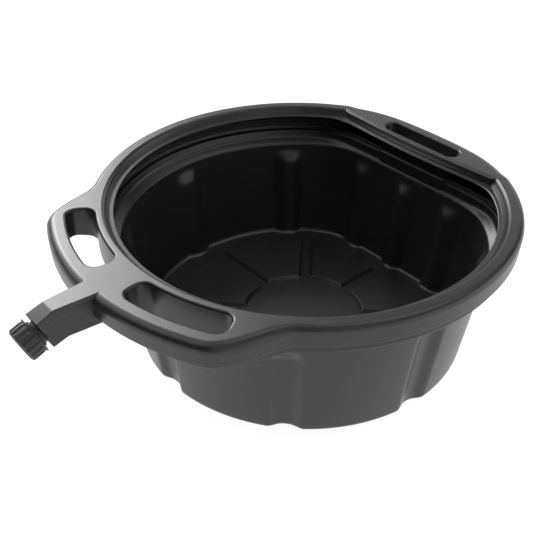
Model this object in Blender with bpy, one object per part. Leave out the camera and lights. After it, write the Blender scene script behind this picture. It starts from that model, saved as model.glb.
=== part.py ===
"""Round oil drain pan with a D-shaped mouth, moulded carry handles, a pour
spout and a screw cap.

Frame: +Z up, the pan stands on z = 0, and the origin is the centre of the
round basin on the ground.  The spout points along -Y, the straight side of
the mouth and the rear grip are at +Y, and the pan is symmetric about X = 0.
Lengths in this file are millimetres and are scaled to metres when a mesh is
made.

Pieces
  pan_body   one hollow moulding: basin, rim channel, grips, spout and neck
  spout_cap  ribbed screw cap
  cap_seal   sealing disc inside the cap
"""
import bpy
import bmesh
import math
from mathutils import Vector, Matrix

MM = 0.001

# ---------------------------------------------------------------- dimensions
HEIGHT = 161.5            # ground to the top of the rim and grips
WALL = 2.8                # moulded wall thickness

BASE_R = 174.5            # outer wall radius at the ground
BASE_CUT = 150.5          # distance of the flat rear wall at the ground
WALL_TOP_R = 190.3        # outer wall radius under the rim
WALL_TOP_CUT = 164.1
WALL_TOP_Z = 117.3
BASE_FILLET = 9.0

FLOOR_Z = 4.0             # inner floor above the ground
IN_BASE_R = 171.7
IN_BASE_CUT = 147.7
SHOULDER_R = 187.3        # inner shoulder under the rim channel
SHOULDER_CUT = 161.3
SHOULDER_Z = 120.5
IN_BASE_FILLET = 11.0

RIM_R = 216.5             # outer radius of the rim
REAR_FLAT = 208.5         # rear grip is cut straight at this distance
GRIP_R = 255.5            # outer radius of the front grip
GRIP_FLAT_DEG = 28.0      # the front grip keeps its radius to this angle
GRIP_END_DEG = 46.0       # and has blended into the rim at this one
RIM_FILLET = 14.0
SKIRT_Z = 130.5           # bottom edge of the rim skirt

LIP_R = 191.0             # mouth
LIP_CUT = 153.7           # straight side of the mouth, at its middle
LIP_Z = 153.2
LIP_T = 2.0
PLATE_EDGE = 161.6        # front edge of the flat rear plate, at its middle
PLATE_HALF_DEG = 32.7     # the plate ends this far either side of +Y

CUT_POWER = 30.0          # how tightly the D corners turn

# flutes pressed into the wall: plan angle of each, half width, depth
FLUTE_DEG = (-90.0, -47.5, -132.5, -4.5, -175.5, 37.3, 142.7, 90.0,
             67.2, 112.8)
FLUTE_HALF = 6.0
FLUTE_DEPTH = 6.0
FLUTE_FULL_Z = 96.0
FLUTE_TOP_Z = 113.0

# pads of the floor
PAD_COUNT = 8
HUB_R = 64.5
SPOKE_HALF = 5.9
PAD_Y = 4.0                # the pads fan out from this point
PAD_OUT_R = 148.0
PAD_OUT_CUT = 124.0
PAD_RISE = 2.8

# grip slots
SLOT_IN_R = 208.6
SLOT_OUT_R = 236.4
SLOT_FROM_DEG = 5.8
SLOT_TO_DEG = 31.5
SLOT_CORNER = 10.5
REAR_SLOT_HALF = 51.0
REAR_SLOT_Y = (168.2, 187.8)
SLOT_FILLET = 3.0

# spout: (top y, top z, half width) and (bottom y, bottom z, half width)
SPOUT = (
    ((-243.0, HEIGHT, 11.6), (-243.0, 128.8, 14.5)),
    ((-289.0, HEIGHT, 8.6), (-279.5, 130.2, 12.8)),
    ((-305.6, 155.5, 9.8), (-294.3, 126.0, 12.6)),
)
SPOUT_WALL = 2.6

# neck and cap, measured along the neck axis from the spout's end face
AXIS_TILT = math.radians(20.5)
NECK_O = (0.0, -299.9, 140.6)
NECK_R = 10.8
BORE_R = 8.2
NECK_LEN = 16.0
PITCH = 4.2
THREAD_TURNS = 1.9
NECK_THREAD_R = 12.3
NECK_THREAD_FROM = 5.6
CAP_FROM = 4.6
CAP_TO = 20.0
CAP_IN_R = 13.0
CAP_R = 15.2
CAP_RIB = 1.0
CAP_RIBS = 16
CAP_RING_R = 17.2
CAP_RING_LEN = 2.4
CAP_TOP_T = 2.2
CAP_THREAD_R = 11.5
SEAL_R = 12.5
SEAL_FROM = 16.3
SEAL_TO = 17.5


# ------------------------------------------------------------------- helpers
def smooth(u):
    u = max(0.0, min(1.0, u))
    return u * u * (3.0 - 2.0 * u)


def ang_diff(a, b):
    """Smallest difference between two angles in degrees."""
    return (a - b + 180.0) % 360.0 - 180.0


def dcut(radius, cut, th):
    """Radius of a circle whose +Y side is cut straight at the distance cut."""
    s = math.sin(th)
    if s < 0.05:
        return radius
    q = (radius * s / cut) ** CUT_POWER
    return radius / (1.0 + q) ** (1.0 / CUT_POWER)


def cutness(radius, cut, th):
    """0 on the round part of a D-shaped ring and 1 on its straight part."""
    s = math.sin(th)
    if s < 0.05:
        return 0.0
    q = (radius * s / cut) ** CUT_POWER
    return q / (1.0 + q)


def flute(th, z):
    """How far the wall is pressed in at this angle and height."""
    deg = math.degrees(th)
    best = 0.0
    for centre in FLUTE_DEG:
        half = FLUTE_HALF
        if 60.0 < centre < 120.0:
            half = FLUTE_HALF * 0.95
        u = abs(ang_diff(deg, centre)) / half
        if u < 1.0:
            best = max(best, 0.5 + 0.5 * math.cos(math.pi * u ** 1.35))
    if z <= FLUTE_FULL_Z:
        k = 1.0
    else:
        k = 1.0 - smooth((z - FLUTE_FULL_Z) / (FLUTE_TOP_Z - FLUTE_FULL_Z))
    return FLUTE_DEPTH * best * k


def rim_out(th):
    """Outer radius of the rim and grips, and how far it is a front grip."""
    a = abs(ang_diff(math.degrees(th), -90.0))
    h = 1.0 - smooth((a - GRIP_FLAT_DEG) / (GRIP_END_DEG - GRIP_FLAT_DEG))
    r = RIM_R + (GRIP_R - RIM_R) * h
    return dcut(r, REAR_FLAT, th), h


def fillet_line(ctrl):
    """Polyline with rounded corners from (r, z, radius, steps) points."""
    out = []
    for i, (r, z, rad, n) in enumerate(ctrl):
        if rad <= 0.0 or n < 1 or i == 0 or i == len(ctrl) - 1:
            out.append((r, z))
            continue
        p = Vector((r, z))
        a = (Vector(ctrl[i - 1][:2]) - p)
        b = (Vector(ctrl[i + 1][:2]) - p)
        la, lb = a.length, b.length
        a.normalize()
        b.normalize()
        half = math.acos(max(-1.0, min(1.0, a.dot(b)))) / 2.0
        t = min(rad / math.tan(half), la * 0.48, lb * 0.48)
        rr = t * math.tan(half)
        c = p + (a + b).normalized() * (rr / math.sin(half))
        s = p + a * t - c
        e = p + b * t - c
        turn = math.atan2(s.x * e.y - s.y * e.x, s.dot(e))
        for k in range(n + 1):
            w = turn * k / n
            out.append((c.x + s.x * math.cos(w) - s.y * math.sin(w),
                        c.y + s.x * math.sin(w) + s.y * math.cos(w)))
    return out


def wall_points(th, r0, c0, r1, c1, z1, zs):
    """Points up the drafted wall, with the flutes pressed in."""
    pts = []
    for z in zs:
        k = z / z1
        r = dcut(r0 + (r1 - r0) * k, c0 + (c1 - c0) * k, th)
        pts.append((r - flute(th, z), z, 0.0, 0))
    return pts


WALL_Z = (40.0, 95.0, 104.0, 112.0)


def bow(th):
    """0 at the middle of the straight side, 1 where its corners are."""
    t = math.sin(th)
    if t < 0.5:
        return 0.0
    return min(1.3, (163.0 * math.cos(th) / (t * 107.0)) ** 2)


def plate(th):
    """1 over the flat rear plate and 0 on the round rim; it ends abruptly."""
    a = abs(ang_diff(math.degrees(th), 90.0))
    return smooth((PLATE_HALF_DEG + 0.25 - a) / 0.5)


def mixed(r_round, y_flat, more, th):
    """Radius on the round rim, or of the bowed straight line of the plate."""
    t = plate(th)
    if t == 0.0:
        return r_round
    return r_round + ((y_flat + more * bow(th)) / math.sin(th) - r_round) * t


def crown_points(th):
    """The rim's inner slope; the rear plate ends it along a crisp edge."""
    t = plate(th)
    flat = mixed(202.0, PLATE_EDGE + 5.0, 3.7, th)
    edge = mixed(200.9, PLATE_EDGE, 3.7, th)
    foot = mixed(195.3, 157.3, 6.2, th)
    run = edge - foot
    return [(flat, HEIGHT, 0.0, 0), (edge, 160.9 - 0.3 * t, 0.0, 0),
            (foot + run * (0.77 - 0.24 * t), 159.6 - 2.6 * t, 0.0, 0),
            (foot + run * (0.52 - 0.29 * t), 157.4 - 2.0 * t, 0.0, 0),
            (foot, 153.6, 0.0, 0)]


def fillet_of_rim(th, h):
    return RIM_FILLET - 5.0 * h - 2.5 * plate(th)


def outer_section(th):
    ro, h = rim_out(th)
    line2 = SKIRT_Z + 3.5 * h
    line1 = line2 + 9.0 - 4.5 * h
    c = [(dcut(BASE_R, BASE_CUT, th) - flute(th, 0.0), 0.0, BASE_FILLET, 2)]
    c += wall_points(th, BASE_R, BASE_CUT, WALL_TOP_R, WALL_TOP_CUT,
                     WALL_TOP_Z, WALL_Z)
    c += [
        (dcut(190.1, 163.9, th), 116.6, 0.0, 0),
        (dcut(199.4, 167.4, th), 121.2, 0.0, 0),
        (dcut(201.8, 168.2, th), 127.9, 0.0, 0),
        (ro - 9.7, line2 - 0.2, 0.0, 0),
        (ro - 6.2, line2, 0.0, 0),
        (ro - 5.4 + 1.5 * h, line1 - 1.0, 0.0, 0),
        (ro - 2.0, line1 + 0.3, 0.0, 0),
        (ro, HEIGHT, fillet_of_rim(th, h), 3),
    ]
    c += crown_points(th)
    c += [(dcut(189.5, 152.2 + 5.9 * bow(th), th), LIP_Z, 0.0, 0)]
    return fillet_line([(0.0, 0.0, 0.0, 0)] + c)[1:]


def inner_section(th):
    ro, h = rim_out(th)
    line2 = SKIRT_Z + 3.5 * h
    line1 = line2 + 9.0 - 4.5 * h
    w = cutness(198.4, 164.0, th)
    lip_cut = LIP_CUT + 5.9 * bow(th)
    c = [(dcut(IN_BASE_R, IN_BASE_CUT, th) - flute(th, 0.0), FLOOR_Z,
          IN_BASE_FILLET, 2)]
    c += wall_points(th, IN_BASE_R, IN_BASE_CUT, SHOULDER_R, SHOULDER_CUT,
                     SHOULDER_Z, WALL_Z)
    c += [
        (dcut(187.0, 161.1, th), 118.2 - 0.4 * w, 8.0, 2),
        (dcut(196.4, 164.4, th), 123.4 - 1.0 * w, 0.0, 0),
        (dcut(199.0, 164.8, th), 130.7, 0.0, 0),
        (dcut(204.0, 166.6, th), 131.4, 0.0, 0),
        (dcut(205.0, 167.6, th), 135.1 + 0.3 * h, 0.0, 0),
        (ro - 8.8, 135.2 + 2.2 * h, 0.0, 0),
        (ro - 8.2 + 1.5 * h, line1 + 2.0, 0.0, 0),
        (ro - 4.9, line1 + 3.2, 0.0, 0),
        (ro - 3.0, HEIGHT - WALL, fillet_of_rim(th, h) - 2.5, 2),
        (mixed(203.5, 163.6, 2.6, th), HEIGHT - WALL, 0.0, 0),
        (mixed(200.6, 160.9, 4.9, th), 154.9, 0.0, 0),
        (mixed(197.6, 159.6, 5.0, th), LIP_Z - LIP_T + 0.2, 0.0, 0),
        (dcut(LIP_R, lip_cut, th), LIP_Z - LIP_T, 0.0, 0),
        (dcut(LIP_R, lip_cut, th), HEIGHT + 12.0, 0.0, 0),
    ]
    return fillet_line([(0.0, FLOOR_Z, 0.0, 0)] + c)[1:]


def plan_angles():
    """Plan angles: even steps, with extra ones across each flute."""
    marks = []
    for centre in FLUTE_DEG:
        for off in (-1.0, -0.6, 0.0, 0.6, 1.0):
            marks.append(centre + off * FLUTE_HALF)
    for a in (GRIP_FLAT_DEG, 31.0, 34.0, 37.0, 40.0, 43.0, GRIP_END_DEG):
        for s in (-1.0, 1.0):
            v = -90.0 + s * a
            if all(abs(ang_diff(v, m)) > 1.2 for m in marks):
                marks.append(v)
    for a in (90.0 - PLATE_HALF_DEG - 0.3, 90.0 - PLATE_HALF_DEG + 0.3):
        marks += [a, 180.0 - a]
    marks = sorted(m % 360.0 for m in marks)
    full = []
    for i, m in enumerate(marks):
        nxt = marks[(i + 1) % len(marks)] + (360.0 if i == len(marks) - 1
                                             else 0.0)
        gap = nxt - m
        n = max(1, int(round(gap / 6.5)))
        full += [m + gap * k / n for k in range(n)]
    return [math.radians(a) for a in full]


def link(name, bm, hidden=False, flip=False):
    bmesh.ops.recalc_face_normals(bm, faces=bm.faces)
    if flip:
        bmesh.ops.reverse_faces(bm, faces=bm.faces)
    me = bpy.data.meshes.new(name)
    bm.to_mesh(me)
    bm.free()
    ob = bpy.data.objects.new(name, me)
    bpy.context.scene.collection.objects.link(ob)
    if hidden:
        ob.hide_render = True
        ob.display_type = 'WIRE'
    return ob


def add_rings(bm, rings, low, high):
    """Closed solid from stacked rings of points, closed by two poles."""
    vs = [[bm.verts.new(Vector(p) * MM) for p in ring] for ring in rings]
    n = len(vs[0])
    for a, b in zip(vs[:-1], vs[1:]):
        for i in range(n):
            j = (i + 1) % n
            bm.faces.new((a[i], a[j], b[j], b[i]))
    for ring, pole in ((vs[0], low), (vs[-1], high)):
        if pole is None:
            bm.faces.new(ring)
        else:
            c = bm.verts.new(Vector(pole) * MM)
            for i in range(n):
                bm.faces.new((c, ring[i], ring[(i + 1) % n]))


def turned(name, section, thetas, z_low, z_high):
    """Solid whose section changes with the plan angle."""
    cols = [section(t) for t in thetas]
    rings = []
    for k in range(len(cols[0])):
        rings.append([(c[k][0] * math.cos(t), c[k][0] * math.sin(t), c[k][1])
                      for c, t in zip(cols, thetas)])
    bm = bmesh.new()
    add_rings(bm, rings, (0, 0, z_low), (0, 0, z_high))
    return link(name, bm, hidden=True)


def boolean(ob, other, op, name):
    m = ob.modifiers.new(name, 'BOOLEAN')
    m.operation = op
    m.solver = 'EXACT'
    m.object = other
    return m


def rounded_box(hx, hy, rad, steps):
    """Corner-rounded rectangle, anticlockwise."""
    pts = []
    for sx, sy, a0 in ((1, -1, -90), (1, 1, 0), (-1, 1, 90), (-1, -1, 180)):
        for k in range(steps + 1):
            a = math.radians(a0 + 90.0 * k / steps)
            pts.append((sx * (hx - rad) + rad * math.cos(a),
                        sy * (hy - rad) + rad * math.sin(a)))
    return pts


def front_slot_outline(side, grow):
    """Plan outline of a curved front slot; side is -1 or +1 in X."""
    rm = 0.5 * (SLOT_IN_R + SLOT_OUT_R)
    am = math.radians(0.5 * (SLOT_FROM_DEG + SLOT_TO_DEG))
    hx = math.radians(SLOT_TO_DEG - SLOT_FROM_DEG) * rm * 0.5 + grow
    hy = 0.5 * (SLOT_OUT_R - SLOT_IN_R) + grow
    out = []
    base = rounded_box(hx, hy, SLOT_CORNER + grow, 3)
    pts = []
    for i, p in enumerate(base):
        q = base[(i + 1) % len(base)]
        pts.append(p)
        n = int(abs(q[0] - p[0]) // 16.0)
        for k in range(1, n + 1):
            pts.append((p[0] + (q[0] - p[0]) * k / (n + 1),
                        p[1] + (q[1] - p[1]) * k / (n + 1)))
    for x, y in pts:
        a = math.radians(-90.0) + side * (am + x / rm)
        r = rm + y
        out.append((r * math.cos(a), r * math.sin(a)))
    return out


def rear_slot_outline(side, grow):
    ym = 0.5 * (REAR_SLOT_Y[0] + REAR_SLOT_Y[1])
    hy = 0.5 * (REAR_SLOT_Y[1] - REAR_SLOT_Y[0]) + grow
    pts = rounded_box(REAR_SLOT_HALF + grow, hy, hy - 0.01, 5)
    return [(x, y + ym) for x, y in pts]


SLOTS = ((front_slot_outline, -1), (front_slot_outline, 1),
         (rear_slot_outline, 1))


def slot_solids(name, levels):
    """One cutter for all slots: levels are (height, how far it grows)."""
    bm = bmesh.new()
    for fn, side in SLOTS:
        rings = [[(x, y, z) for x, y in fn(side, g)] for z, g in levels]
        add_rings(bm, rings, None, None)
    return link(name, bm, hidden=True)


def pad_outline(k, inset):
    """Plan outline of one floor pad between two spokes."""
    mid = math.radians(22.5 + 45.0 * k)
    lo, hi = mid - math.radians(22.5), mid + math.radians(22.5)
    half = SPOKE_HALF + inset
    rin, rout = HUB_R + inset, PAD_OUT_R - inset
    pts = []
    d1, d2 = math.asin(half / rin), math.asin(half / rout)
    n1, n2 = 3, 5

    def edge(a):
        """Where a ray from the pads' centre meets their outer outline."""
        t = rout
        for _ in range(6):
            x, y = t * math.cos(a), PAD_Y + t * math.sin(a)
            t += dcut(rout, PAD_OUT_CUT - inset, math.atan2(y, x)) - \
                math.hypot(x, y)
        return t * math.cos(a), t * math.sin(a)

    for i in range(n2 + 1):
        a = lo + d2 + (hi - lo - 2 * d2) * i / n2
        x, y = edge(a)
        if i in (0, n2):
            # keep the corner on the line beside the spoke
            b = lo if i == 0 else hi
            s = 1.0 if i == 0 else -1.0
            t = x * math.cos(b) + y * math.sin(b)
            x = t * math.cos(b) - s * half * math.sin(b)
            y = t * math.sin(b) + s * half * math.cos(b)
        pts.append((x, y))
    for i in range(n1 + 1):
        a = hi - d1 - (hi - lo - 2 * d1) * i / n1
        pts.append((rin * math.cos(a), rin * math.sin(a)))
    return pts


def pad_solids(name, levels):
    bm = bmesh.new()
    for k in range(PAD_COUNT):
        rings = [[(x, y + PAD_Y, z) for x, y in pad_outline(k, g)]
                 for z, g in levels]
        add_rings(bm, rings, None, None)
    return link(name, bm, hidden=True)


def axis_frame():
    """Matrix that carries +Z onto the neck axis, in millimetres."""
    a = Vector((0.0, -math.cos(AXIS_TILT), -math.sin(AXIS_TILT)))
    x = Vector((1.0, 0.0, 0.0))
    y = a.cross(x)
    m = Matrix((x, y, a)).transposed().to_4x4()
    m.translation = Vector(NECK_O)
    return m


AXIS = axis_frame()


def spout_solid(name, inset, start, end):
    """Box channel of the spout; inset thins it on every side."""
    bm = bmesh.new()
    rings = []
    for i, (top, bot) in enumerate(SPOUT):
        ty, tz, tw = top
        by, bz, bw = bot
        if i == 0:
            ty += start
            by += start
        d = Vector((ty - by, tz - bz))
        length = d.length
        d.normalize()
        ty, tz = ty - d.x * inset, tz - d.y * inset
        by, bz = by + d.x * inset, bz + d.y * inset
        tw, bw = tw - inset, bw - inset
        if i == len(SPOUT) - 1:
            sy, sz = math.cos(AXIS_TILT) * end, math.sin(AXIS_TILT) * end
            ty, tz, by, bz = ty + sy, tz + sz, by + sy, bz + sz
        c = 1.6 if inset == 0.0 else 1.0
        e = 1.0 - c / (length - 2 * inset)
        ring = [(bw - c, by, bz), (bw, by + (ty - by) * (1 - e),
                                   bz + (tz - bz) * (1 - e)),
                (tw + (bw - tw) * (1 - e), by + (ty - by) * e,
                 bz + (tz - bz) * e), (tw - c, ty, tz)]
        ring += [(-x, y, z) for x, y, z in reversed(ring)]
        rings.append(ring)
    add_rings(bm, rings, None, None)
    return link(name, bm, hidden=True)


def axis_rod(name, radius, s0, s1, n):
    bm = bmesh.new()
    rings = []
    for s in (s0, s1):
        rings.append([AXIS @ Vector((radius * math.cos(2 * math.pi * i / n),
                                     radius * math.sin(2 * math.pi * i / n),
                                     s)) for i in range(n)])
    add_rings(bm, rings, None, None)
    return link(name, bm, hidden=True)


def helix(name, root, crest, foot, tip, s0, turns, phase, per_turn):
    """Thread ridge from the root radius to the crest radius.

    foot and tip are its widths along the axis, and both ends taper off."""
    bm = bmesh.new()
    n = int(turns * per_turn)
    rings = []
    for i in range(n + 1):
        u = i / n
        a = phase + 2 * math.pi * turns * u
        s = s0 + PITCH * turns * u
        k = min(1.0, min(u, 1.0 - u) * n / 3.0)
        cr = root + (crest - root) * (0.12 + 0.88 * k)
        ca, sa = math.cos(a), math.sin(a)
        back = root - (crest - root) * 0.35
        ring = []
        for r, w in ((back, -foot), (cr, -tip), (cr, tip), (back, foot)):
            ring.append(AXIS @ Vector((r * ca, r * sa, s + 0.5 * w)))
        rings.append(ring)
    add_rings(bm, rings, None, None)
    return link(name, bm, hidden=True)


def material(name, rgb, rough, metallic=0.0):
    m = bpy.data.materials.new(name)
    m.use_nodes = True
    b = m.node_tree.nodes["Principled BSDF"]
    b.inputs["Base Color"].default_value = (*rgb, 1.0)
    b.inputs["Roughness"].default_value = rough
    b.inputs["Metallic"].default_value = metallic
    return m


def dress(ob, mat, angle=32.0):
    ob.data.materials.clear()
    ob.data.materials.append(mat)
    ob.data.shade_smooth()
    ob.data.set_sharp_from_angle(angle=math.radians(angle))


# ------------------------------------------------------------------ the parts
for old in list(bpy.data.objects):
    bpy.data.objects.remove(old, do_unlink=True)

hdpe = material("black_hdpe", (0.020, 0.021, 0.022), 0.38)
cap_pp = material("black_cap_plastic", (0.016, 0.017, 0.018), 0.42)
foam = material("seal_foam", (0.62, 0.62, 0.58), 0.8)

THETAS = plan_angles()

# ---- pan body: outer form, minus the hollow
pan = turned("pan_body", outer_section, THETAS, 0.0, LIP_Z)
pan.hide_render = False
pan.display_type = 'TEXTURED'

hollow = turned("hollow", inner_section, THETAS, FLOOR_Z, HEIGHT + 12.0)

spout_out = spout_solid("spout_form", 0.0, 0.0, 0.0)
spout_in = spout_solid("spout_channel", SPOUT_WALL, 6.0, SPOUT_WALL)
neck = axis_rod("neck_form", NECK_R, -1.5, NECK_LEN, 32)
bore = axis_rod("neck_bore", BORE_R, -SPOUT_WALL - 1.0, NECK_LEN + 4.0, 32)
neck_thread = helix("neck_thread", NECK_R, NECK_THREAD_R, 1.9, 1.0,
                    NECK_THREAD_FROM + 1.0, THREAD_TURNS, 0.0, 24)

f = SLOT_FILLET
slots = slot_solids("slot_cut", (
    (100.0, 0.0), (HEIGHT - f, 0.0), (HEIGHT - f * 0.5, f * 0.134),
    (HEIGHT - f * 0.134, f * 0.5), (HEIGHT - 0.02, f), (HEIGHT + 8.0, f)))
slot_walls = slot_solids("slot_walls", ((110.0, WALL), (HEIGHT + 4.0, WALL)))
pads_up = pad_solids("pads_up", (
    (FLOOR_Z - 1.5, 0.0), (FLOOR_Z, 0.0), (FLOOR_Z + PAD_RISE, 2.2)))
pads_down = pad_solids("pads_under", (
    (-2.0, 2.6), (0.0, 2.6), (FLOOR_Z + PAD_RISE - WALL, 5.6)))

boolean(hollow, pads_up, 'DIFFERENCE', "pads")
boolean(hollow, slot_walls, 'DIFFERENCE', "slot_walls")
boolean(hollow, spout_in, 'UNION', "spout_channel")
boolean(hollow, bore, 'UNION', "neck_bore")

boolean(pan, spout_out, 'UNION', "spout")
boolean(pan, neck, 'UNION', "neck")
boolean(pan, neck_thread, 'UNION', "thread")
boolean(pan, slots, 'DIFFERENCE', "slots")
boolean(pan, pads_down, 'DIFFERENCE', "pads_under")
boolean(pan, hollow, 'DIFFERENCE', "hollow")
dress(pan, hdpe)

# ---- the screw axis: the cap and its seal are placed along it
origin = AXIS @ Vector((0.0, 0.0, CAP_FROM))
screw = bpy.data.objects.new("cap_axis", None)
bpy.context.scene.collection.objects.link(screw)
screw.matrix_world = Matrix.Translation(origin * MM) @ \
    AXIS.to_3x3().to_4x4()


def local(r, a, s):
    """Point at radius r, angle a and axial place s, in the cap's frame."""
    return (r * math.cos(a), r * math.sin(a), s - CAP_FROM)


def rib(a):
    """Radius added by the grip ribs at this angle."""
    u = (a * CAP_RIBS / (2 * math.pi)) % 1.0
    return CAP_RIB if 0.25 < u < 0.75 else 0.0


# ---- cap: ribbed skirt, base ring, closed top, thread inside
bm = bmesh.new()
N_CAP = CAP_RIBS * 4
angs = [2 * math.pi * (i + 0.5) / N_CAP for i in range(N_CAP)]
ring_top = CAP_FROM + CAP_RING_LEN
rings = []
for s, r, k in ((CAP_TO, 12.6, 0.0), (CAP_TO - 0.5, 14.2, 0.0),
                (CAP_TO - 2.0, CAP_R, 1.0), (ring_top + 0.7, CAP_R, 1.0),
                (ring_top, CAP_RING_R - 0.3, 0.0),
                (CAP_FROM + 0.4, CAP_RING_R, 0.0),
                (CAP_FROM, CAP_RING_R - 0.4, 0.0),
                (CAP_FROM, CAP_IN_R + 0.4, 0.0),
                (CAP_FROM + 0.5, CAP_IN_R, 0.0),
                (CAP_TO - CAP_TOP_T - 0.6, CAP_IN_R, 0.0),
                (CAP_TO - CAP_TOP_T, CAP_IN_R - 0.6, 0.0)):
    rings.append([local(r + k * rib(a), a, s) for a in angs])
add_rings(bm, rings, local(0, 0, CAP_TO), local(0, 0, CAP_TO - CAP_TOP_T))
cap = link("spout_cap", bm)
cap.parent = screw

bm = bmesh.new()
turns = 1.5
n = int(turns * 24)
rings = []
start = NECK_THREAD_FROM + 1.0 + 0.5 * PITCH
for i in range(n + 1):
    u = i / n
    a = 2 * math.pi * turns * u
    s = start + PITCH * turns * u
    k = min(1.0, min(u, 1.0 - u) * n / 3.0)
    cr = CAP_IN_R + (CAP_THREAD_R - CAP_IN_R) * (0.12 + 0.88 * k)
    rings.append([local(r, a, s + w) for r, w in (
        (CAP_IN_R + 0.6, -0.8), (cr, -0.4), (cr, 0.4),
        (CAP_IN_R + 0.6, 0.8))])
add_rings(bm, rings, None, None)
cap_thread = link("cap_thread", bm, hidden=True)
cap_thread.parent = screw
boolean(cap, cap_thread, 'UNION', "thread")
dress(cap, cap_pp, 28.0)

# ---- seal: a thin disc with softened edges under the cap's top
bm = bmesh.new()
N_SEAL = 40
rings = []
for s, r in ((SEAL_TO, SEAL_R - 0.3), (SEAL_TO - 0.3, SEAL_R),
             (SEAL_FROM + 0.3, SEAL_R), (SEAL_FROM, SEAL_R - 0.3)):
    rings.append([local(r, 2 * math.pi * i / N_SEAL, s)
                  for i in range(N_SEAL)])
add_rings(bm, rings, local(0, 0, SEAL_TO), local(0, 0, SEAL_FROM))
seal = link("cap_seal", bm)
seal.parent = screw
dress(seal, foam)
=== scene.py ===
import math

import bmesh
import bpy
import numpy as np
from mathutils import Matrix, Vector


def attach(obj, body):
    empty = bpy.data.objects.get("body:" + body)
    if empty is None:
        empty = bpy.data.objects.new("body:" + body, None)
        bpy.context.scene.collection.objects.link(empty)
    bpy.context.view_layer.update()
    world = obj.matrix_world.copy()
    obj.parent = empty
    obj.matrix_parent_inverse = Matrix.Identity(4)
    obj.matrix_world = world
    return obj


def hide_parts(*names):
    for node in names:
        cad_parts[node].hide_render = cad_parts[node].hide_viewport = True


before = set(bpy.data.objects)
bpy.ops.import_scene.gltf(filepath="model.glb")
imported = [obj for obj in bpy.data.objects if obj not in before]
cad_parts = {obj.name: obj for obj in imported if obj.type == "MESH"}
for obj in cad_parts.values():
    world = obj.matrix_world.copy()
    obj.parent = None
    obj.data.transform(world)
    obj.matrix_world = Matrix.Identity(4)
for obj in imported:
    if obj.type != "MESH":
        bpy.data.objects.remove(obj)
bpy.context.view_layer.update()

MM = 0.001

# ---------------------------------------------------------------- dimensions
HEIGHT = 161.5
WALL = 2.8

BASE_R, BASE_CUT, BASE_FILLET = 174.5, 150.5, 9.0
WALL_TOP_R, WALL_TOP_CUT, WALL_TOP_Z = 190.3, 164.1, 117.3

FLOOR_Z = 4.0
IN_BASE_R, IN_BASE_CUT, IN_BASE_FILLET = 171.7, 147.7, 11.0
SHOULDER_R, SHOULDER_CUT, SHOULDER_Z = 187.3, 161.3, 120.5

RIM_R = 216.0
REAR_FLAT = 208.5
GRIP_R = 255.5
GRIP_FLAT_DEG, GRIP_END_DEG = 28.0, 46.0
RIM_FILLET = 14.0
SKIRT_Z = 130.5

LIP_R, LIP_CUT, LIP_Z, LIP_T = 191.0, 153.7, 153.2, 2.0
PLATE_EDGE, PLATE_HALF_DEG = 161.6, 32.7
CUT_POWER = 30.0

FLUTE_DEG = (-90.0, -47.5, -132.5, -4.5, -175.5, 37.3, 142.7, 90.0,
             67.2, 112.8)
FLUTE_HALF = 6.0
FLUTE_DEPTH = 6.0
FLUTE_FULL_Z = 96.0
FLUTE_TOP_Z = 113.0

HUB_R, SPOKE_HALF = 64.5, 5.9
PAD_Y = 4.0
PAD_OUT_R, PAD_OUT_CUT, PAD_RISE = 148.0, 124.0, 3.4

SLOT_IN_R, SLOT_OUT_R = 208.6, 236.4
SLOT_FROM_DEG, SLOT_TO_DEG = 5.8, 31.5
SLOT_CORNER = 10.5
REAR_SLOT_HALF = 51.0
REAR_SLOT_Y = (168.2, 187.8)
SLOT_FILLET = 2.4

SPOUT = (
    ((-243.0, HEIGHT, 11.6), (-243.0, 128.8, 14.5)),
    ((-289.0, HEIGHT, 8.6), (-279.5, 130.2, 12.8)),
    ((-305.6, 155.5, 9.8), (-294.3, 126.0, 12.6)),
)
SPOUT_WALL = 2.6

TILT = math.radians(20.5)
NECK_O = (0.0, -299.9, 140.6)
NECK_R, BORE_R, NECK_LEN = 10.8, 8.2, 16.0
PITCH, THREAD_TURNS = 4.2, 1.9
NECK_THREAD_R, NECK_THREAD_FROM = 12.3, 5.6
CAP_FROM, CAP_TO = 4.6, 20.0
CAP_IN_R, CAP_R, CAP_RIB, CAP_RIBS = 13.0, 15.0, 1.3, 16
CAP_RING_R, CAP_RING_LEN, CAP_TOP_T = 17.2, 2.4, 2.2
CAP_THREAD_R = 11.5
SEAL_R, SEAL_FROM, SEAL_TO = 12.5, 16.3, 17.5

STEP_DEG = 0.6


# ------------------------------------------------------------------- helpers
def smooth(u):
    u = max(0.0, min(1.0, u))
    return u * u * (3.0 - 2.0 * u)


def ang_diff(a, b):
    return (a - b + 180.0) % 360.0 - 180.0


def dcut(radius, cut, th):
    s = math.sin(th)
    if s < 0.05:
        return radius
    q = (radius * s / cut) ** CUT_POWER
    return radius / (1.0 + q) ** (1.0 / CUT_POWER)


def cutness(radius, cut, th):
    s = math.sin(th)
    if s < 0.05:
        return 0.0
    q = (radius * s / cut) ** CUT_POWER
    return q / (1.0 + q)


def flute(th, z):
    """How far the wall is pressed in: a round-bottomed groove, domed on top."""
    deg = math.degrees(th)
    best = 0.0
    for centre in FLUTE_DEG:
        half = FLUTE_HALF * (0.95 if 60.0 < centre < 120.0 else 1.0)
        u = abs(ang_diff(deg, centre)) / half
        if u < 1.0:
            best = max(best, 0.5 + 0.5 * math.cos(math.pi * u ** 1.35))
    if z <= FLUTE_FULL_Z:
        k = 1.0
    else:
        k = 1.0 - smooth((z - FLUTE_FULL_Z) / (FLUTE_TOP_Z - FLUTE_FULL_Z))
    return FLUTE_DEPTH * best * k


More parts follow.
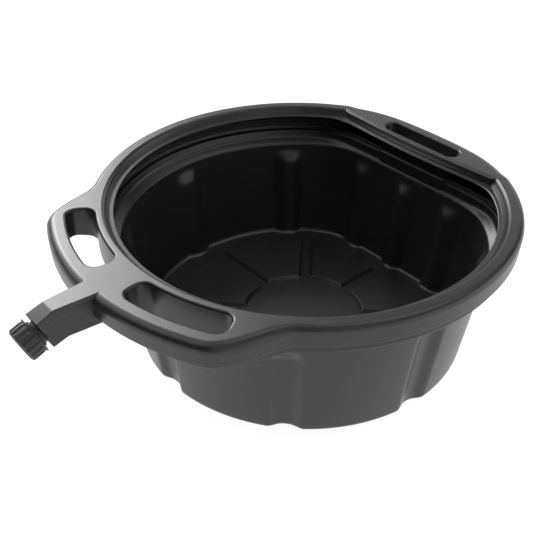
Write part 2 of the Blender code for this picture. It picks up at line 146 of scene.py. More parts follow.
def rim_out(th):
    a = abs(ang_diff(math.degrees(th), -90.0))
    h = 1.0 - smooth((a - GRIP_FLAT_DEG) / (GRIP_END_DEG - GRIP_FLAT_DEG))
    return dcut(RIM_R + (GRIP_R - RIM_R) * h, REAR_FLAT, th), h


def fillet_line(ctrl):
    """Polyline with rounded corners from (r, z, radius, steps) points."""
    out = []
    for i, (r, z, rad, n) in enumerate(ctrl):
        if rad <= 0.0 or n < 1 or i == 0 or i == len(ctrl) - 1:
            out.append((r, z))
            continue
        p = Vector((r, z))
        a = Vector(ctrl[i - 1][:2]) - p
        b = Vector(ctrl[i + 1][:2]) - p
        la, lb = a.length, b.length
        a.normalize()
        b.normalize()
        half = math.acos(max(-1.0, min(1.0, a.dot(b)))) / 2.0
        t = min(rad / math.tan(half), la * 0.48, lb * 0.48)
        rr = t * math.tan(half)
        mid = a + b
        if mid.length < 1e-6:
            out += [(r, z)] * (n + 1)
            continue
        c = p + mid.normalized() * (rr / math.sin(half))
        s = p + a * t - c
        e = p + b * t - c
        turn = math.atan2(s.x * e.y - s.y * e.x, s.dot(e))
        for k in range(n + 1):
            w = turn * k / n
            out.append((c.x + s.x * math.cos(w) - s.y * math.sin(w),
                        c.y + s.x * math.sin(w) + s.y * math.cos(w)))
    return out


WALL_Z = (14.0, 22.0, 34.0, 48.0, 62.0, 76.0, 88.0, 93.0, 96.0, 98.0, 100.0,
          102.0, 104.0, 106.0, 108.0, 110.0, 112.0, 114.0)


def wall_points(th, r0, c0, r1, c1, z1):
    pts = []
    for z in WALL_Z:
        k = z / z1
        r = dcut(r0 + (r1 - r0) * k, c0 + (c1 - c0) * k, th)
        pts.append((r - flute(th, z), z, 0.0, 0))
    return pts


def bow(th):
    """0 at the middle of the straight side, 1 where its corners are."""
    t = math.sin(th)
    if t < 0.5:
        return 0.0
    return min(1.3, (163.0 * math.cos(th) / (t * 107.0)) ** 2)


def plate(th):
    """1 over the flat rear plate and 0 on the round rim; it ends abruptly."""
    a = abs(ang_diff(math.degrees(th), 90.0))
    return smooth((PLATE_HALF_DEG + 0.25 - a) / 0.5)


def mixed(r_round, y_flat, more, th):
    """Radius on the round rim, or of the bowed straight line of the plate."""
    t = plate(th)
    if t == 0.0:
        return r_round
    return r_round + ((y_flat + more * bow(th)) / math.sin(th) - r_round) * t


def crown_points(th):
    """The rim's inner slope; the rear plate ends it along a crisp edge."""
    t = plate(th)
    flat = mixed(202.0, PLATE_EDGE + 5.0, 3.7, th)
    edge = mixed(200.9, PLATE_EDGE, 3.7, th)
    foot = mixed(195.3, 157.3, 6.2, th)
    run = edge - foot
    b = (foot + run * (0.77 - 0.24 * t), 159.6 - 2.6 * t)
    c = (foot + run * (0.52 - 0.29 * t), 157.4 - 2.0 * t)
    return [(flat, HEIGHT, 4.0, 3), (edge, 160.9 - 0.3 * t, 0.8, 3),
            (b[0], b[1], 1.0, 2), (c[0], c[1], 0.7, 3),
            (foot, 153.6, 0.6, 3)]


def fillet_of_rim(th, h):
    return RIM_FILLET - 5.0 * h - 2.5 * plate(th)


def outer_section(th):
    ro, h = rim_out(th)
    line2 = SKIRT_Z + 3.5 * h
    line1 = line2 + 9.0 - 4.5 * h
    w = cutness(198.4, 164.0, th)
    c = [(dcut(BASE_R, BASE_CUT, th) - flute(th, 0.0), 0.0, BASE_FILLET, 8)]
    c += wall_points(th, BASE_R, BASE_CUT, WALL_TOP_R, WALL_TOP_CUT,
                     WALL_TOP_Z)
    c += [
        (dcut(190.1, 163.9, th), 116.6, 4.0, 5),
        (dcut(199.4, 167.4, th), 121.2, 3.0, 4),
        (dcut(201.8, 168.2, th), 127.9, 1.5, 3),
        (ro - 9.7, line2 - 0.2, 1.0, 2),
        (ro - 5.6, line2 - 0.1, 1.3, 6),
        (ro - 6.6 + 1.5 * h, line1 - 1.6, 1.4, 4),
        (ro - 1.3, line1 + 0.1, 1.0, 6),
        (ro, HEIGHT, fillet_of_rim(th, h), 12),
    ]
    c += crown_points(th)
    c += [(dcut(189.5, 152.2 + 5.9 * bow(th), th), LIP_Z, 0.0, 0)]
    return fillet_line([(0.0, 0.0, 0.0, 0)] + c)[1:]


def inner_section(th):
    ro, h = rim_out(th)
    line2 = SKIRT_Z + 3.5 * h
    line1 = line2 + 9.0 - 4.5 * h
    w = cutness(198.4, 164.0, th)
    lip_cut = LIP_CUT + 5.9 * bow(th)
    c = [(dcut(IN_BASE_R, IN_BASE_CUT, th) - flute(th, 0.0), FLOOR_Z,
          IN_BASE_FILLET, 9)]
    c += wall_points(th, IN_BASE_R, IN_BASE_CUT, SHOULDER_R, SHOULDER_CUT,
                     SHOULDER_Z)
    c += [
        (dcut(187.0, 161.1, th), 118.2 - 0.4 * w, 12.0, 9),
        (dcut(196.4, 164.4, th), 123.4 - 1.0 * w, 7.0, 7),
        (dcut(199.0, 164.8, th), 130.7, 1.1, 4),
        (dcut(204.0, 166.6, th), 131.4, 1.0, 3),
        (dcut(205.0, 167.6, th), 135.1 + 0.3 * h, 1.1, 4),
        (ro - 8.8, 135.2 + 2.2 * h, 1.0, 2),
        (ro - 8.2 + 1.5 * h, line1 + 2.0, 1.0, 2),
        (ro - 4.9, line1 + 3.2, 1.0, 2),
        (ro - 3.0, HEIGHT - WALL, fillet_of_rim(th, h) - 2.5, 6),
        (mixed(203.5, 163.6, 2.6, th), HEIGHT - WALL, 1.6, 2),
        (mixed(200.6, 160.9, 4.9, th), 154.9, 0.6, 2),
        (mixed(197.6, 159.6, 5.0, th), LIP_Z - LIP_T + 0.2, 0.6, 2),
        (dcut(LIP_R, lip_cut, th), LIP_Z - LIP_T, 0.0, 0),
        (dcut(LIP_R, lip_cut, th), LIP_Z - 0.9, 0.0, 0),
        (dcut(LIP_R + 0.25, lip_cut + 0.25, th), LIP_Z - 0.3, 0.0, 0),
        (dcut(LIP_R + 0.9, lip_cut + 0.9, th), LIP_Z + 0.02, 0.0, 0),
        (dcut(LIP_R + 1.6, lip_cut + 1.4, th), HEIGHT + 12.0, 0.0, 0),
    ]
    return fillet_line([(0.0, FLOOR_Z, 0.0, 0)] + c)[1:]


def plan_angles():
    out, a = [], 0.3
    while a < 360.0:
        out.append(math.radians(a))
        off = abs(abs(a - 90.0) - PLATE_HALF_DEG)
        a += STEP_DEG * (0.2 if off < 1.0 else 0.5 if off < 4.0 else 1.0)
    return out


def link(name, bm):
    bmesh.ops.recalc_face_normals(bm, faces=bm.faces)
    me = bpy.data.meshes.new(name)
    bm.to_mesh(me)
    bm.free()
    ob = bpy.data.objects.new(name, me)
    bpy.context.scene.collection.objects.link(ob)
    return ob


def add_rings(bm, rings, low, high):
    """Closed solid from stacked rings of points, closed by two poles."""
    vs = [[bm.verts.new(Vector(p) * MM) for p in ring] for ring in rings]
    n = len(vs[0])
    for a, b in zip(vs[:-1], vs[1:]):
        for i in range(n):
            j = (i + 1) % n
            bm.faces.new((a[i], a[j], b[j], b[i]))
    for ring, pole in ((vs[0], low), (vs[-1], high)):
        if pole is None:
            bm.faces.new(ring)
        else:
            c = bm.verts.new(Vector(pole) * MM)
            for i in range(n):
                bm.faces.new((c, ring[i], ring[(i + 1) % n]))


def turned(name, section, thetas, z_low, z_high):
    cols = [section(t) for t in thetas]
    rings = []
    for k in range(len(cols[0])):
        rings.append([(c[k][0] * math.cos(t), c[k][0] * math.sin(t), c[k][1])
                      for c, t in zip(cols, thetas)])
    bm = bmesh.new()
    add_rings(bm, rings, (0, 0, z_low), (0, 0, z_high))
    return link(name, bm)


def combine(ob, other, op, solver='MANIFOLD'):
    """Applies a boolean to ob's own mesh and removes the other object."""
    m = ob.modifiers.new("cut", 'BOOLEAN')
    m.operation = op
    m.solver = solver
    m.object = other
    bpy.context.view_layer.update()
    dg = bpy.context.evaluated_depsgraph_get()
    me = bpy.data.meshes.new_from_object(ob.evaluated_get(dg))
    ob.modifiers.remove(m)
    old = ob.data
    ob.data = me
    me.name = ob.name
    bpy.data.meshes.remove(old)
    spent = other.data
    bpy.data.objects.remove(other)
    bpy.data.meshes.remove(spent)
    return ob


def rounded_box(hx, hy, rad, steps):
    pts = []
    for sx, sy, a0 in ((1, -1, -90), (1, 1, 0), (-1, 1, 90), (-1, -1, 180)):
        for k in range(steps + 1):
            a = math.radians(a0 + 90.0 * k / steps)
            pts.append((sx * (hx - rad) + rad * math.cos(a),
                        sy * (hy - rad) + rad * math.sin(a)))
    return pts


def front_slot_outline(side, grow):
    rm = 0.5 * (SLOT_IN_R + SLOT_OUT_R)
    am = math.radians(0.5 * (SLOT_FROM_DEG + SLOT_TO_DEG))
    hx = math.radians(SLOT_TO_DEG - SLOT_FROM_DEG) * rm * 0.5 + grow
    hy = 0.5 * (SLOT_OUT_R - SLOT_IN_R) + grow
    base = rounded_box(hx, hy, SLOT_CORNER + grow, 12)
    pts = []
    for i, p in enumerate(base):
        q = base[(i + 1) % len(base)]
        pts.append(p)
        n = int(abs(q[0] - p[0]) // 3.0)
        for k in range(1, n + 1):
            pts.append((p[0] + (q[0] - p[0]) * k / (n + 1),
                        p[1] + (q[1] - p[1]) * k / (n + 1)))
    out = []
    for x, y in pts:
        a = math.radians(-90.0) + side * (am + x / rm)
        r = rm + y
        out.append((r * math.cos(a), r * math.sin(a)))
    return out


def rear_slot_outline(side, grow):
    ym = 0.5 * (REAR_SLOT_Y[0] + REAR_SLOT_Y[1])
    hy = 0.5 * (REAR_SLOT_Y[1] - REAR_SLOT_Y[0]) + grow
    return [(x, y + ym) for x, y in
            rounded_box(REAR_SLOT_HALF + grow, hy, hy - 0.01, 14)]


SLOTS = ((front_slot_outline, -1), (front_slot_outline, 1),
         (rear_slot_outline, 1))


def slot_solids(name, levels, which=None):
    bm = bmesh.new()
    for fn, side in which or SLOTS:
        # a constant count of points is needed for every level
        counts = None
        rings = []
        for z, g in levels:
            ring = fn(side, g)
            if counts is None:
                counts = len(ring)
            if len(ring) != counts:
                ring = resample(ring, counts)
            rings.append([(x, y, z) for x, y in ring])
        add_rings(bm, rings, None, None)
    return link(name, bm)


def resample(ring, n):
    """The same closed outline with n points, evenly spaced by length."""
    pts = [Vector(p) for p in ring]
    seg = [(pts[(i + 1) % len(pts)] - pts[i]).length for i in range(len(pts))]
    total = sum(seg)
    out, i, done = [], 0, 0.0
    for k in range(n):
        want = total * k / n
        while done + seg[i] < want:
            done += seg[i]
            i += 1
        u = (want - done) / seg[i] if seg[i] > 0.0 else 0.0
        p = pts[i].lerp(pts[(i + 1) % len(pts)], u)
        out.append((p.x, p.y))
    return out


def slot_ring(fn, side, grow):
    """Outline grown outward, always with the same points along it."""
    return fn(side, grow)


def pad_outline(k, inset):
    """Plan outline of one floor pad, its four corners rounded."""
    mid = math.radians(22.5 + 45.0 * k)
    lo, hi = mid - math.radians(22.5), mid + math.radians(22.5)
    half = SPOKE_HALF + inset
    rin, rout = HUB_R + inset, PAD_OUT_R - inset
    d1, d2 = math.asin(half / rin), math.asin(half / rout)
    n1, n2 = 18, 44

    def beside(b, s, t):
        return (t * math.cos(b) - s * half * math.sin(b),
                t * math.sin(b) + s * half * math.cos(b))

    def edge(a):
        """Where a ray from the pads' centre meets their outer outline."""
        t = rout
        for _ in range(6):
            x, y = t * math.cos(a), PAD_Y + t * math.sin(a)
            t += dcut(rout, PAD_OUT_CUT - inset, math.atan2(y, x)) - \
                math.hypot(x, y)
        return t * math.cos(a), t * math.sin(a)

    outer = []
    for i in range(n2 + 1):
        a = lo + d2 + (hi - lo - 2 * d2) * i / n2
        outer.append(edge(a))
    for i, (b, s) in ((0, (lo, 1.0)), (n2, (hi, -1.0))):
        x, y = outer[i]
        outer[i] = beside(b, s, x * math.cos(b) + y * math.sin(b))
    inner = []
    for i in range(n1 + 1):
        a = hi - d1 - (hi - lo - 2 * d1) * i / n1
        inner.append((rin * math.cos(a), rin * math.sin(a)))

    def corner(p, before, after, reach):
        p, b, a = Vector(p), Vector(before), Vector(after)
        s = p + (b - p).normalized() * reach
        e = p + (a - p).normalized() * reach
        return [tuple((s * (1 - u) ** 2 + p * 2 * u * (1 - u) + e * u * u))
                for u in (0.0, 0.2, 0.4, 0.6, 0.8, 1.0)]

    rc = 2.2
    pts = []
    pts += corner(outer[0], inner[-1], outer[1], min(rc, 2.2))
    pts += outer[2:-2]
    pts += corner(outer[-1], outer[-3], inner[0], min(rc, 2.2))
    # the straight side beside the spoke, subdivided
    a, b = Vector(outer[-1]), Vector(inner[0])
    for u in (0.25, 0.5, 0.75):
        pts.append(tuple(a.lerp(b, u)))
    pts += corner(inner[0], outer[-1], inner[2], 1.4)
    pts += inner[2:-2]
    pts += corner(inner[-1], inner[-3], outer[0], 1.4)
    a, b = Vector(inner[-1]), Vector(outer[0])
    for u in (0.25, 0.5, 0.75):
        pts.append(tuple(a.lerp(b, u)))
    return pts


def pad_solids(name, levels):
    bm = bmesh.new()
    for k in range(8):
        rings = [[(x, y + PAD_Y, z) for x, y in pad_outline(k, g)]
                 for z, g in levels]
        add_rings(bm, rings, None, None)
    return link(name, bm)


def axis_frame():
    a = Vector((0.0, -math.cos(TILT), -math.sin(TILT)))
    x = Vector((1.0, 0.0, 0.0))
    y = a.cross(x)
    m = Matrix((x, y, a)).transposed().to_4x4()
    m.translation = Vector(NECK_O)
    return m


AXIS = axis_frame()


def spout_solid(name, inset, start, end, dressed):
    """Box channel of the spout; inset thins it on every side.

    The dressed form has a parting step along its sides, a softly rounded
    bottom and a fine chamfer round the end face."""
    bm = bmesh.new()
    stations = []
    for i, (top, bot) in enumerate(SPOUT):
        t, b = list(top), list(bot)
        if i == 0:
            t[0] += start
            b[0] += start
        d = Vector((t[0] - b[0], t[1] - b[1]))
        length = d.length
        d.normalize()
        t[0], t[1] = t[0] - d.x * inset, t[1] - d.y * inset
        b[0], b[1] = b[0] + d.x * inset, b[1] + d.y * inset
        t[2] -= inset
        b[2] -= inset
        if i == len(SPOUT) - 1:
            sy, sz = math.cos(TILT) * end, math.sin(TILT) * end
            t[0] += sy
            t[1] += sz
            b[0] += sy
            b[1] += sz
        stations.append((t, b))
    if dressed:
        # extra stations soften the fold on top and chamfer the end face
        def mix(p, q, u):
            return [[a + (c - a) * u for a, c in zip(m, n)]
                    for m, n in zip(p, q)]
        s0, s1, s2 = stations
        near, far = mix(s1, s0, 0.035), mix(s1, s2, 0.10)
        knee = mix(mix(near, far, 0.5), s1, 0.5)
        stations = [s0, mix(s0, s1, 0.5), near, knee, far,
                    mix(s1, s2, 0.6), mix(s1, s2, 0.975), s2]
    rings = []
    for i, (t, b) in enumerate(stations):
        d = Vector((t[0] - b[0], t[1] - b[1]))
        length = d.length
        d.normalize()
        trim = 0.45 if dressed and i == len(stations) - 1 else 0.0
        step = 0.8 if dressed else 0.0

        def at(x, v):
            return (x, b[0] + d.x * v, b[1] + d.y * v)

        def half(v):
            if not dressed:
                return b[2] + (t[2] - b[2]) * v / length
            u, wide = length - v, b[2] - t[2]
            if u < 5.5:
                return t[2] + 0.55 * wide * u / 5.5
            return t[2] + 0.55 * wide + 0.45 * wide * (u - 5.5) / (length - 5.5)

        right = []
        rc = 2.4 if dressed else 1.6
        for k in range(7):
            a = math.radians(-90.0 + 90.0 * k / 6)
            right.append(at(half(rc) - rc + rc * math.cos(a) - trim - step -
                            (0.5 if dressed else 0.0),
                            trim + (rc + rc * math.sin(a)) * (1 - trim / rc)))
        more = 0.5 if dressed else 0.0
        for down, k, q in ((9.2, 1.0, 1.0), (8.9, 1.0, 0.9), (8.4, 1.0, 0.1),
                           (8.1, 1.0, 0.0), (4.1, 1.0, 0.0), (3.9, 0.9, 0.0),
                           (3.5, 0.1, 0.0), (3.3, 0.0, 0.0)):
            v = length - down
            right.append(at(half(v) - trim - step * k - more * q, v))
        rt = 0.9
        for k in range(6):
            a = math.radians(90.0 * k / 5)
            v = length - rt + rt * math.sin(a) - trim
            right.append(at(half(v) - rt + rt * math.cos(a) - trim, v))
        ring = right + [(-x, y, z) for x, y, z in reversed(right)]
        rings.append(ring)
    add_rings(bm, rings, None, None)
    return link(name, bm)


def axis_turned(name, profile, n, cap_ends=True):
    """Solid turned about the neck axis from (s, r) points."""
    bm = bmesh.new()
    rings = [[AXIS @ Vector((r * math.cos(2 * math.pi * i / n),
                             r * math.sin(2 * math.pi * i / n), s))
              for i in range(n)] for s, r in profile]
    add_rings(bm, rings, None, None)
    return link(name, bm)


def helix(name, root, crest, foot, tip, s0, turns, per_turn):
    bm = bmesh.new()
    n = int(turns * per_turn)
    rings = []
    for i in range(n + 1):
        u = i / n
        a = 2 * math.pi * turns * u
        s = s0 + PITCH * turns * u
        k = smooth(min(1.0, min(u, 1.0 - u) * turns * 5.0))
        cr = root + (crest - root) * (0.12 + 0.88 * k)
        ca, sa = math.cos(a), math.sin(a)
        back = root - (crest - root) * 0.35
        ring = []
        for r, w in ((back, -foot), (cr - 0.15, -tip), (cr, -tip * 0.7),
                     (cr, tip * 0.7), (cr - 0.15, tip), (back, foot)):
            ring.append(AXIS @ Vector((r * ca, r * sa, s + 0.5 * w)))
        rings.append(ring)
    add_rings(bm, rings, None, None)
    return link(name, bm)


# ----------------------------------------------------------------- materials
def node(tree, kind, x, y, **inputs):
    n = tree.nodes.new(kind)
    n.location = (x, y)
    for key, value in inputs.items():
        n.inputs[key].default_value = value
    return n


def plastic(name, dark, light, rough, rough_var, grain, grain_scale,
            wave=0.12, ior=1.5, specular=0.5):
    """Moulded satin plastic: mottled tone, uneven gloss, fine grain and a
    faint moulding waviness, with scuffs where hands and tools rub it."""
    m = bpy.data.materials.new(name)
    m.use_nodes = True
    t = m.node_tree
    b = t.nodes["Principled BSDF"]
    b.inputs["IOR"].default_value = ior
    b.inputs["Specular IOR Level"].default_value = specular
    co = node(t, "ShaderNodeTexCoord", -1400, 0)
    big = node(t, "ShaderNodeTexNoise", -1100, 300, Scale=14.0, Detail=5.0,
               Roughness=0.55)
    mid = node(t, "ShaderNodeTexNoise", -1100, 0, Scale=120.0, Detail=6.0,
               Roughness=0.6)
    fine = node(t, "ShaderNodeTexNoise", -1100, -300, Scale=grain_scale,
                Detail=3.0, Roughness=0.5)
    scuff = node(t, "ShaderNodeTexNoise", -1100, -600, Scale=46.0, Detail=8.0,
                 Roughness=0.72, Distortion=0.8)
    for n in (big, mid, fine, scuff):
        t.links.new(co.outputs["Object"], n.inputs["Vector"])

    # colour
    mix = node(t, "ShaderNodeMix", -850, 200)
    mix.data_type = 'FLOAT'
    mix.inputs[0].default_value = 0.5
    t.links.new(big.outputs["Fac"], mix.inputs[2])
    t.links.new(mid.outputs["Fac"], mix.inputs[3])
    ramp = node(t, "ShaderNodeValToRGB", -650, 300)
    ramp.color_ramp.elements[0].position = 0.33
    ramp.color_ramp.elements[0].color = (*dark, 1.0)
    ramp.color_ramp.elements[1].position = 0.68
    ramp.color_ramp.elements[1].color = (*light, 1.0)
    t.links.new(mix.outputs[0], ramp.inputs["Fac"])
    t.links.new(ramp.outputs["Color"], b.inputs["Base Color"])

    # roughness
    rng = node(t, "ShaderNodeMapRange", -650, 0)
    rng.inputs["From Min"].default_value = 0.3
    rng.inputs["From Max"].default_value = 0.7
    rng.inputs["To Min"].default_value = rough - rough_var
    rng.inputs["To Max"].default_value = rough + rough_var
    t.links.new(mix.outputs[0], rng.inputs["Value"])
    spots = node(t, "ShaderNodeMapRange", -650, -250)
    spots.inputs["From Min"].default_value = 0.60
    spots.inputs["From Max"].default_value = 0.75
    spots.inputs["To Min"].default_value = 0.0
    spots.inputs["To Max"].default_value = 0.07
    t.links.new(scuff.outputs["Fac"], spots.inputs["Value"])
    add = node(t, "ShaderNodeMath", -430, -60)
    add.operation = 'ADD'
    t.links.new(rng.outputs["Result"], add.inputs[0])
    t.links.new(spots.outputs["Result"], add.inputs[1])
    t.links.new(add.outputs[0], b.inputs["Roughness"])

    # relief
    wavy = node(t, "ShaderNodeBump", -430, -350, Strength=wave,
                Distance=0.0006)
    t.links.new(big.outputs["Fac"], wavy.inputs["Height"])
    pits = node(t, "ShaderNodeBump", -220, -350, Strength=grain,
                Distance=0.00012)
    t.links.new(fine.outputs["Fac"], pits.inputs["Height"])
    t.links.new(wavy.outputs["Normal"], pits.inputs["Normal"])
    t.links.new(pits.outputs["Normal"], b.inputs["Normal"])
    return m


def dress(ob, mat, angle):
    me = ob.data
    me.materials.clear()
    me.materials.append(mat)
    for p in me.polygons:
        p.material_index = 0
    me.shade_smooth()
    me.set_sharp_from_angle(angle=math.radians(angle))
    w = ob.modifiers.new("normals", 'WEIGHTED_NORMAL')
    w.mode = 'FACE_AREA'
    w.weight = 60
    w.keep_sharp = True


def tidy(ob, dist=0.00002):
    """Merges doubled points left by the cuts and clears empty faces."""
    bm = bmesh.new()
    bm.from_mesh(ob.data)
    bmesh.ops.remove_doubles(bm, verts=bm.verts, dist=dist)
    bmesh.ops.dissolve_degenerate(bm, edges=bm.edges, dist=dist)
    bm.to_mesh(ob.data)
    bm.free()


hdpe = plastic("pan_plastic", (0.0115, 0.0116, 0.0118),
               (0.0185, 0.0187, 0.019), 0.34, 0.03, 0.35, 1500.0)
cap_pp = plastic("cap_plastic", (0.018, 0.0185, 0.019),
                 (0.028, 0.0285, 0.029), 0.46, 0.04, 0.4, 1900.0)
foam = plastic("seal_foam", (0.52, 0.52, 0.48), (0.68, 0.68, 0.63),
               0.8, 0.05, 0.9, 2600.0)

# ------------------------------------------------------------------ pan body
THETAS = plan_angles()
f = SLOT_FILLET

pan = turned("pan_moulding", outer_section, THETAS, 0.0, LIP_Z)
hollow = turned("hollow", inner_section, THETAS, FLOOR_Z, HEIGHT + 12.0)

rise = PAD_RISE
combine(hollow, pad_solids("pads_up", (
    (FLOOR_Z - 1.5, -0.95), (FLOOR_Z - 0.05, -0.95), (FLOOR_Z + 0.2, -0.8),
    (FLOOR_Z + rise - 0.25, 1.75), (FLOOR_Z + rise - 0.05, 2.0),
    (FLOOR_Z + rise, 2.25))), 'DIFFERENCE')
combine(hollow, slot_solids("slot_walls", (
    (110.0, WALL), (HEIGHT + 4.0, WALL))), 'DIFFERENCE')
plinth = slot_solids("rear_plinth", (
    (110.0, WALL + 2.6), (132.0, WALL + 2.6), (133.2, WALL + 2.35),
    (134.2, WALL + 1.7), (134.8, WALL + 0.8), (135.0, WALL - 0.5)),
    SLOTS[2:])
combine(hollow, plinth, 'DIFFERENCE')
combine(hollow, spout_solid("spout_channel", SPOUT_WALL, 6.0, SPOUT_WALL,
                            False), 'UNION')
combine(hollow, axis_turned("neck_bore", (
    (-SPOUT_WALL - 1.0, BORE_R), (NECK_LEN - 0.5, BORE_R),
    (NECK_LEN + 4.0, BORE_R + 4.5)), 72), 'UNION')

combine(pan, spout_solid("spout_form", 0.0, 0.0, 0.0, True), 'UNION')
combine(pan, axis_turned("neck_form", (
    (-1.5, NECK_R), (0.0, NECK_R + 0.8), (0.5, NECK_R + 0.2),
    (1.1, NECK_R), (2.0, NECK_R), (2.15, NECK_R + 0.4), (2.4, 12.3),
    (2.6, 12.55), (3.7, 12.55), (3.95, 12.3), (4.1, NECK_R + 0.4),
    (4.25, NECK_R), (NECK_LEN - 0.5, NECK_R), (NECK_LEN, NECK_R - 0.5)), 96),
    'UNION')
combine(pan, helix("neck_thread", NECK_R, NECK_THREAD_R, 1.9, 1.0,
                   NECK_THREAD_FROM + 1.0, THREAD_TURNS, 72), 'UNION')

arc = [(HEIGHT - f + f * math.sin(math.radians(a)),
        f * (1.0 - math.cos(math.radians(a))))
       for a in (0, 12, 24, 36, 48, 60, 72, 84)]
levels = [(100.0, 0.0)] + arc + [(HEIGHT - 0.004, f), (HEIGHT + 8.0, f)]
combine(pan, slot_solids("slot_cut", levels), 'DIFFERENCE')
under = FLOOR_Z + PAD_RISE - 2.8
combine(pan, pad_solids("pads_under", (
    (-2.0, 2.6), (0.0, 2.6), (under - 0.4, 5.2), (under, 6.0))),
    'DIFFERENCE')
combine(pan, hollow, 'DIFFERENCE')
tidy(pan)
dress(pan, hdpe, 34.0)
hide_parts("pan_body")
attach(pan, "pan")


# ------------------------------------------------------------- cap and seal
def around(r, a, s):
    return AXIS @ Vector((r * math.cos(a), r * math.sin(a), s))


def rib(a):
    """Radius added by the rounded grip ribs at this angle, 0 to 1."""
    u = (a * CAP_RIBS / (2 * math.pi)) % 1.0
    d = abs(u - 0.5) * 2.0
    return 1.0 - smooth((d - 0.42) / 0.3)


N_CAP = CAP_RIBS * 16
angs = [2 * math.pi * i / N_CAP for i in range(N_CAP)]
ring_top = CAP_FROM + CAP_RING_LEN
bm = bmesh.new()
rings = []
for s, r, k in ((CAP_TO - 0.55, 9.2, 0.0), (CAP_TO - 0.5, 9.6, 0.0),
                (CAP_TO - 0.06, 10.0, 0.0), (CAP_TO, 10.3, 0.0),
                (CAP_TO, 13.4, 0.0), (CAP_TO - 0.1, 13.9, 0.0),
                (CAP_TO - 0.4, 14.4, 0.0), (CAP_TO - 0.9, 14.85, 0.15),
                (CAP_TO - 1.5, 15.15, 0.55), (CAP_TO - 2.1, CAP_R, 0.9),
                (CAP_TO - 2.7, CAP_R, 1.0), (CAP_TO - 6.0, CAP_R, 1.0),
                (ring_top + 1.8, CAP_R, 1.0), (ring_top + 1.0, CAP_R, 0.9),
                (ring_top + 0.4, CAP_R + 0.15, 0.6),
                (ring_top - 0.2, CAP_R + 0.5, 0.3),
                (ring_top - 0.8, CAP_R + 1.0, 0.0),
                (ring_top - 1.4, CAP_RING_R - 0.35, 0.0),
                (ring_top - 1.8, CAP_RING_R, 0.0),
                (CAP_FROM + 0.3, CAP_RING_R, 0.0),
                (CAP_FROM + 0.1, CAP_RING_R - 0.1, 0.0),
                (CAP_FROM, CAP_RING_R - 0.5, 0.0),
                (CAP_FROM, CAP_IN_R + 0.5, 0.0),
                (CAP_FROM + 0.2, CAP_IN_R + 0.15, 0.0),
                (CAP_FROM + 0.6, CAP_IN_R, 0.0),
                (CAP_TO - CAP_TOP_T - 0.6, CAP_IN_R, 0.0),
                (CAP_TO - CAP_TOP_T, CAP_IN_R - 0.6, 0.0)):
    rings.append([around(r + k * CAP_RIB * rib(a), a, s) for a in angs])
add_rings(bm, rings, around(0, 0, CAP_TO - 0.55),
          around(0, 0, CAP_TO - CAP_TOP_T))
cap = link("screw_cap", bm)

bm = bmesh.new()
turns = 1.5
n = int(turns * 72)
rings = []
start = NECK_THREAD_FROM + 1.0 + 0.5 * PITCH
for i in range(n + 1):
    u = i / n
    a = 2 * math.pi * turns * u
    s = start + PITCH * turns * u
    k = smooth(min(1.0, min(u, 1.0 - u) * turns * 5.0))
    cr = CAP_IN_R + (CAP_THREAD_R - CAP_IN_R) * (0.12 + 0.88 * k)
    rings.append([around(r, a, s + w) for r, w in (
        (CAP_IN_R + 0.6, -0.8), (cr + 0.1, -0.45), (cr, -0.3), (cr, 0.3),
        (cr + 0.1, 0.45), (CAP_IN_R + 0.6, 0.8))])
add_rings(bm, rings, None, None)
combine(cap, link("cap_thread", bm), 'UNION')
tidy(cap)
dress(cap, cap_pp, 40.0)
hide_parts("spout_cap")
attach(cap, "cap")

bm = bmesh.new()
rings = []
for s, r in ((SEAL_TO, SEAL_R - 0.35), (SEAL_TO - 0.1, SEAL_R - 0.1),
             (SEAL_TO - 0.35, SEAL_R), (SEAL_FROM + 0.35, SEAL_R),
             (SEAL_FROM + 0.1, SEAL_R - 0.1), (SEAL_FROM, SEAL_R - 0.35),
             (SEAL_FROM, 11.0), (SEAL_FROM + 0.12, 10.4),
             (SEAL_FROM + 0.12, 9.0), (SEAL_FROM, 8.4)):
    rings.append([around(r, 2 * math.pi * i / 96, s) for i in range(96)])
add_rings(bm, rings, around(0, 0, SEAL_TO), around(0, 0, SEAL_FROM))
seal = link("seal_disc", bm)
dress(seal, foam, 40.0)
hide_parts("cap_seal")
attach(seal, "liner")

# ------------------------------------------------------------- stage, camera
def pale(name, rgb, glow):
    """Matt white sweep, lit from below as well so that it stays pale."""
    m = bpy.data.materials.new(name)
    m.use_nodes = True
    b = m.node_tree.nodes["Principled BSDF"]
    b.inputs["Base Color"].default_value = (*rgb, 1.0)
    b.inputs["Roughness"].default_value = 0.9
    b.inputs["Specular IOR Level"].default_value = 0.0
    b.inputs["Emission Color"].default_value = (1.0, 1.0, 1.0, 1.0)
    b.inputs["Emission Strength"].default_value = glow
    return m


me = bpy.data.meshes.new("floor")
S = 8.0
me.from_pydata([(-S, -S, -0.0002), (S, -S, -0.0002), (S, S, -0.0002),
                (-S, S, -0.0002)], [], [(0, 1, 2, 3)])
floor = bpy.data.objects.new("floor", me)
bpy.context.scene.collection.objects.link(floor)
me.materials.append(pale("floor_white", (0.24, 0.24, 0.24), 0.93))

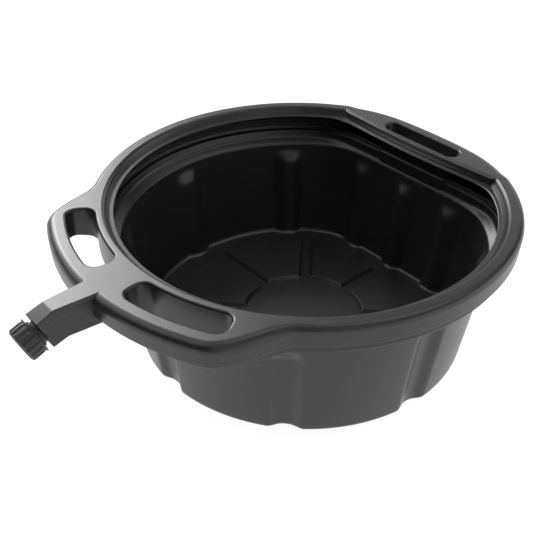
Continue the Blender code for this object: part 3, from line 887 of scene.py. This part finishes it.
# Soft boxes hung round the object: plan angle, elevation, the angles within
# which a box is full and beyond which it is dark, and its strength.
SOFTBOXES = (
    (163.0, 36.0, 5.0, 17.0, 13.0),     # key, high at the back left
    (170.0, 22.0, 3.0, 15.0, 7.0),
    (182.0, 32.0, 6.0, 26.0, 1.9),
    (212.0, 32.0, 6.0, 26.0, 1.3),
    (240.0, 60.0, 6.0, 26.0, 1.5),      # overhead
    (60.0, 60.0, 6.0, 26.0, 1.5),
    (120.0, 60.0, 6.0, 26.0, 0.7),
    (0.0, 60.0, 6.0, 26.0, 0.6),
    (0.0, 88.0, 6.0, 26.0, 0.6),
    (120.0, 9.0, 6.0, 26.0, 1.6),       # low, behind
    (62.0, 9.0, 6.0, 26.0, 1.9),
    (30.0, 9.0, 6.0, 26.0, 1.4),
    (0.0, 9.0, 6.0, 26.0, 1.0),
    (335.0, 32.0, 6.0, 26.0, 0.7),      # weak fill from the front right
)

world = bpy.data.worlds.new("studio")
bpy.context.scene.world = world
world.use_nodes = True
wt = world.node_tree
bg = wt.nodes["Background"]
bg.inputs["Color"].default_value = (1.0, 1.0, 1.0, 1.0)
where = node(wt, "ShaderNodeTexCoord", -1200, 0)
total = None
for i, (plan, elev, full, dark, power) in enumerate(SOFTBOXES):
    az, el = math.radians(plan), math.radians(elev)
    near = node(wt, "ShaderNodeVectorMath", -950, -160 * i)
    near.operation = 'DOT_PRODUCT'
    near.inputs[1].default_value = (math.cos(el) * math.cos(az),
                                    math.cos(el) * math.sin(az),
                                    math.sin(el))
    wt.links.new(where.outputs["Generated"], near.inputs[0])
    box = node(wt, "ShaderNodeMapRange", -720, -160 * i)
    box.interpolation_type = 'SMOOTHSTEP'
    box.inputs["From Min"].default_value = math.cos(math.radians(dark))
    box.inputs["From Max"].default_value = math.cos(math.radians(full))
    box.inputs["To Min"].default_value = 0.0
    box.inputs["To Max"].default_value = power
    wt.links.new(near.outputs["Value"], box.inputs["Value"])
    if total is None:
        total = box.outputs["Result"]
    else:
        add = node(wt, "ShaderNodeMath", -480, -160 * i)
        add.operation = 'ADD'
        wt.links.new(total, add.inputs[0])
        wt.links.new(box.outputs["Result"], add.inputs[1])
        total = add.outputs[0]
path = node(wt, "ShaderNodeLightPath", -480, 300)
pick = node(wt, "ShaderNodeMix", -220, 100)
pick.data_type = 'FLOAT'
wt.links.new(path.outputs["Is Camera Ray"], pick.inputs[0])
wt.links.new(total, pick.inputs[2])
pick.inputs[3].default_value = 1.0
wt.links.new(pick.outputs[0], bg.inputs["Strength"])

cam_data = bpy.data.cameras.new("camera")
cam = bpy.data.objects.new("camera", cam_data)
bpy.context.scene.collection.objects.link(cam)
cam_data.sensor_width = 36.0
cam_data.lens = 57.41
right = Vector((0.653223, 0.757137, 0.006551))
up = Vector((-0.442282, 0.374529, 0.814932))
ahead = Vector((-0.614562, 0.53523, -0.579519))
rot = Matrix((right, up, -ahead)).transposed()
cam.rotation_mode = 'QUATERNION'
cam.rotation_quaternion = rot.to_quaternion()
cam.location = (0.533345, -0.515045, 0.594610)
bpy.context.scene.camera = cam
bpy.context.scene.view_settings.view_transform = 'Standard'
bpy.context.scene.view_settings.look = 'None'
